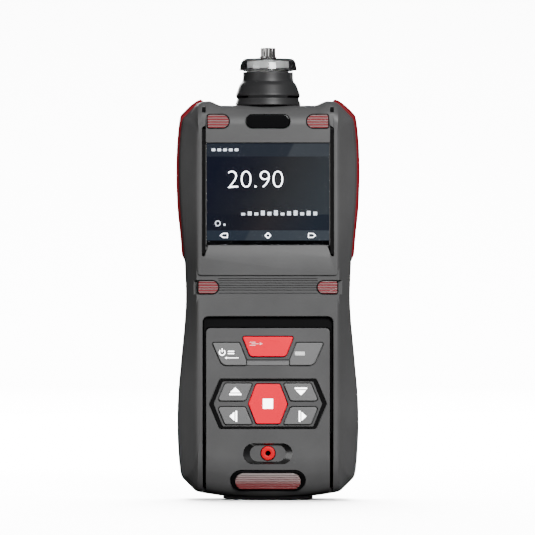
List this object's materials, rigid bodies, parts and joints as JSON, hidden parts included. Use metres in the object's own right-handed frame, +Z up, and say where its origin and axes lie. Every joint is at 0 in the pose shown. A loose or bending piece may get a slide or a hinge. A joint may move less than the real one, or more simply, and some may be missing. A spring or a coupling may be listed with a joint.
{
  "type": "portable gas detector",
  "caption": "Handheld pumped gas detector: waisted grey case with red side bumpers, colour screen, key panel, clear filter cap on the inlet neck and a belt clip.",
  "frame": {"origin": "middle of the flat under the rubber foot that the detector stands on, at the middle of the case's depth", "axes": "+Z up along the length to the inlet nozzle, -Y out of the screen, +X to the right as one looks at the screen"},
  "size_m": [0.083, 0.0502, 0.2046],
  "materials": {
    "case": "fine matt texture",
    "panel": "fine matt texture",
    "key_grey": "satin",
    "key_red": "satin",
    "seal_black": "matt",
    "bumper_red": "matt, finely textured",
    "grommet_red": "matt",
    "screen_glass": "polished",
    "window_black": "polished",
    "lamp_lens": "ribbed, glossy",
    "clear_plastic": "clear moulded",
    "filter_white": "porous",
    "nozzle_metal": "machined",
    "clip_steel": "pressed, satin",
    "screw_steel": "blackened",
    "display": "satin",
    "board": "solder mask",
    "battery_wrap": "shrink wrap",
    "motor_metal": "drawn can",
    "block_plastic": "moulded",
    "sensor_shell": "moulded",
    "hose": "silicone"
  },
  "bodies": {
    "case": {"front_shell": "case", "rear_shell": "case", "inlet_neck": "case", "keypad_panel": "panel", "key_bridge": "key_grey", "case_seal": "seal_black", "key_mat": "seal_black", "pad_bezel": "seal_black", "bottom_lamp_seal": "seal_black", "inlet_seal": "seal_black", "bottom_foot": "seal_black", "bumper_left": "bumper_red", "bumper_right": "bumper_red", "buzzer_grommet": "grommet_red", "screen_lens": "screen_glass", "infrared_window": "window_black", "lamp_lens_top_left": "lamp_lens", "lamp_lens_top_right": "lamp_lens", "lamp_lens_mid_left": "lamp_lens", "lamp_lens_mid_right": "lamp_lens", "lamp_lens_bottom": "lamp_lens", "filter_holder": "filter_white", "filter_disc": "filter_white", "clip_base": "clip_steel", "clip_pin": "clip_steel", "clip_spring": "clip_steel", "clip_screw_1": "screw_steel", "clip_screw_2": "screw_steel", "case_screw_1": "screw_steel", "case_screw_2": "screw_steel", "case_screw_3": "screw_steel", "case_screw_4": "screw_steel", "display_module": "display", "main_board": "board", "battery_pack": "battery_wrap", "buzzer": "window_black", "vibration_motor": "motor_metal", "charge_socket": "motor_metal", "pump_motor": "motor_metal", "pump_head": "block_plastic", "sensor_manifold": "block_plastic", "gas_sensor_1": "sensor_shell", "gas_sensor_2": "sensor_shell", "gas_sensor_3": "sensor_shell", "gas_sensor_4": "sensor_shell", "inlet_hose": "hose", "pump_hose": "hose", "exhaust_hose": "hose"},
    "power_key": {"power_button": "key_grey"},
    "pump_key": {"pump_button": "key_red"},
    "menu_key": {"menu_button": "key_grey"},
    "up_key": {"up_button": "key_grey"},
    "down_key": {"down_button": "key_grey"},
    "left_key": {"left_button": "key_grey"},
    "right_key": {"right_button": "key_grey"},
    "enter_key": {"enter_button": "key_red"},
    "cap": {"filter_cap": "clear_plastic", "inlet_nozzle": "nozzle_metal"},
    "clip_lever": {"belt_clip": "clip_steel"},
    "port_flap": {"charge_flap": "seal_black"}
  },
  "joints": [
    {"name": "power_press", "type": "slide", "parent": "case", "child": "power_key", "axis": [0, 1, 0], "range_m": [0, 0.0008], "stiffness_N_per_m": 900, "springref_m": -0.0004},
    {"name": "pump_press", "type": "slide", "parent": "case", "child": "pump_key", "axis": [0, 1, 0], "range_m": [0, 0.0008], "stiffness_N_per_m": 900, "springref_m": -0.0004},
    {"name": "menu_press", "type": "slide", "parent": "case", "child": "menu_key", "axis": [0, 1, 0], "range_m": [0, 0.0008], "stiffness_N_per_m": 900, "springref_m": -0.0004},
    {"name": "up_press", "type": "slide", "parent": "case", "child": "up_key", "axis": [0, 1, 0], "range_m": [0, 0.0008], "stiffness_N_per_m": 900, "springref_m": -0.0004},
    {"name": "down_press", "type": "slide", "parent": "case", "child": "down_key", "axis": [0, 1, 0], "range_m": [0, 0.0008], "stiffness_N_per_m": 900, "springref_m": -0.0004},
    {"name": "left_press", "type": "slide", "parent": "case", "child": "left_key", "axis": [0, 1, 0], "range_m": [0, 0.0008], "stiffness_N_per_m": 900, "springref_m": -0.0004},
    {"name": "right_press", "type": "slide", "parent": "case", "child": "right_key", "axis": [0, 1, 0], "range_m": [0, 0.0008], "stiffness_N_per_m": 900, "springref_m": -0.0004},
    {"name": "enter_press", "type": "slide", "parent": "case", "child": "enter_key", "axis": [0, 1, 0], "range_m": [0, 0.0008], "stiffness_N_per_m": 900, "springref_m": -0.0004},
    {"name": "cap_lift", "type": "slide", "parent": "case", "child": "cap", "axis": [0, 0, 1], "range_m": [0, 0.01]},
    {"name": "clip_swing", "type": "hinge", "parent": "case", "child": "clip_lever", "pos_m": [0, 0.0246, 0.138], "axis": [1, 0, 0], "range_deg": [0, 22], "stiffness_Nm_per_rad": 0.3, "springref_deg": -14.32},
    {"name": "flap_open", "type": "hinge", "parent": "case", "child": "port_flap", "pos_m": [0, 0.0175, 0.0085], "axis": [-1, 0, 0], "range_deg": [0, 110]}
  ]
}
